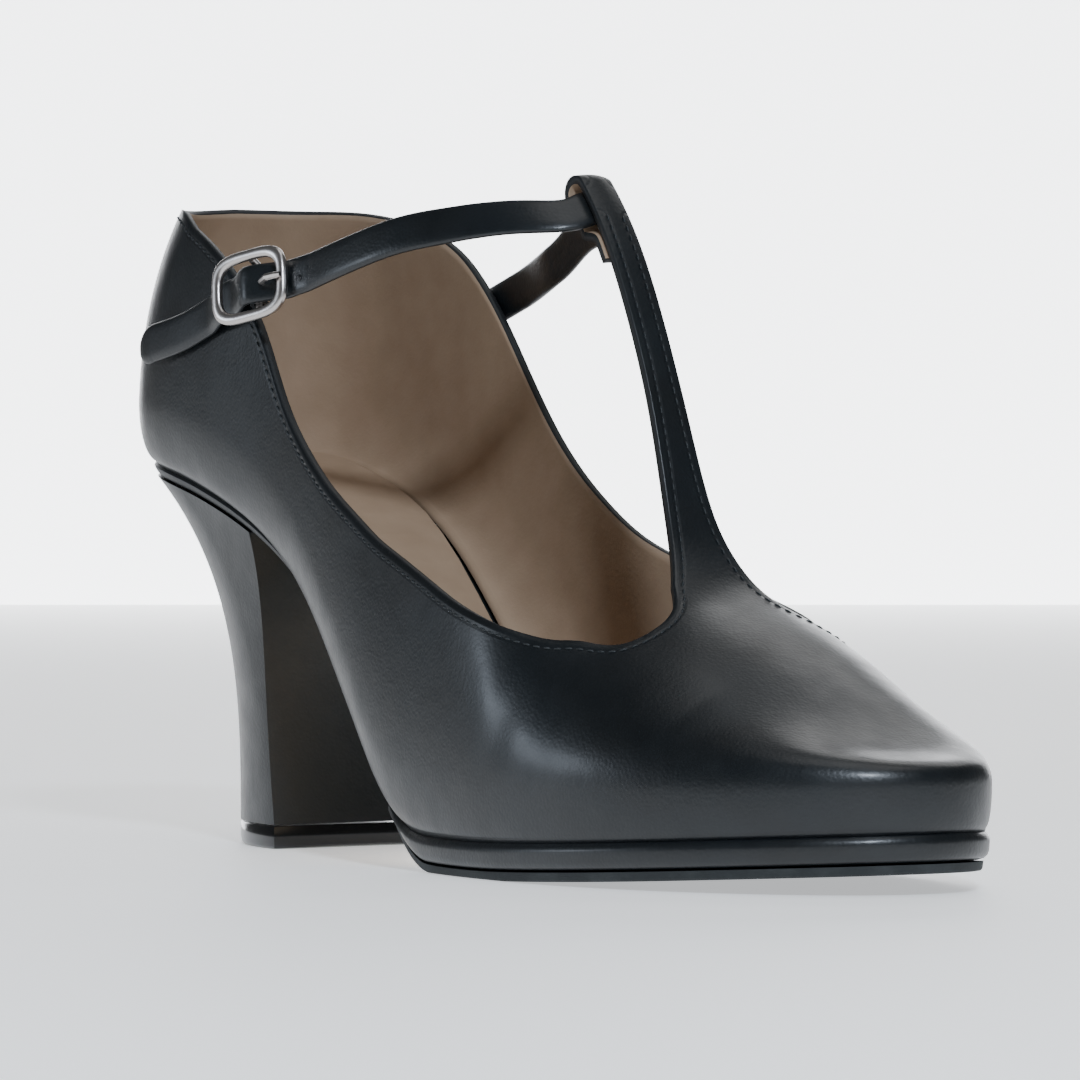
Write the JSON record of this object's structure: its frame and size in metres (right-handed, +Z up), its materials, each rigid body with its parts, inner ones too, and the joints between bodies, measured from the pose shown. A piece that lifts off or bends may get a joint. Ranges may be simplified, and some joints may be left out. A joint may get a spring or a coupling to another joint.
{
  "type": "character shoe",
  "caption": "Right-foot character shoe with a T-bar upper, a buckled ankle strap, a thin platform and a high flared heel.",
  "frame": {"origin": "on the floor, in the middle of the flat face under the heel", "axes": "+X from the heel to the toe, +Y to the inner side of the foot, +Z up"},
  "size_m": [0.2388, 0.0765, 0.1274],
  "materials": {
    "black_leather": "smooth satin calf",
    "lining_leather": "matte lining",
    "tan_leather": "polished sole leather",
    "black_tread": "matte",
    "tip_plastic": "gloss",
    "shank_steel": "satin",
    "buckle_nickel": "satin nickel plate"
  },
  "bodies": {
    "root": {"upper": "black_leather", "insole": "lining_leather", "waist_sole": "tan_leather", "platform": "black_leather", "tread": "black_tread", "heel": "black_leather", "heel_tip": "tip_plastic", "shank_plate": "shank_steel", "shank_rivet": "shank_steel", "ankle_strap": "black_leather", "buckle_frame": "buckle_nickel", "buckle_prong": "buckle_nickel", "buckle_tab": "black_leather"}
  },
  "joints": []
}
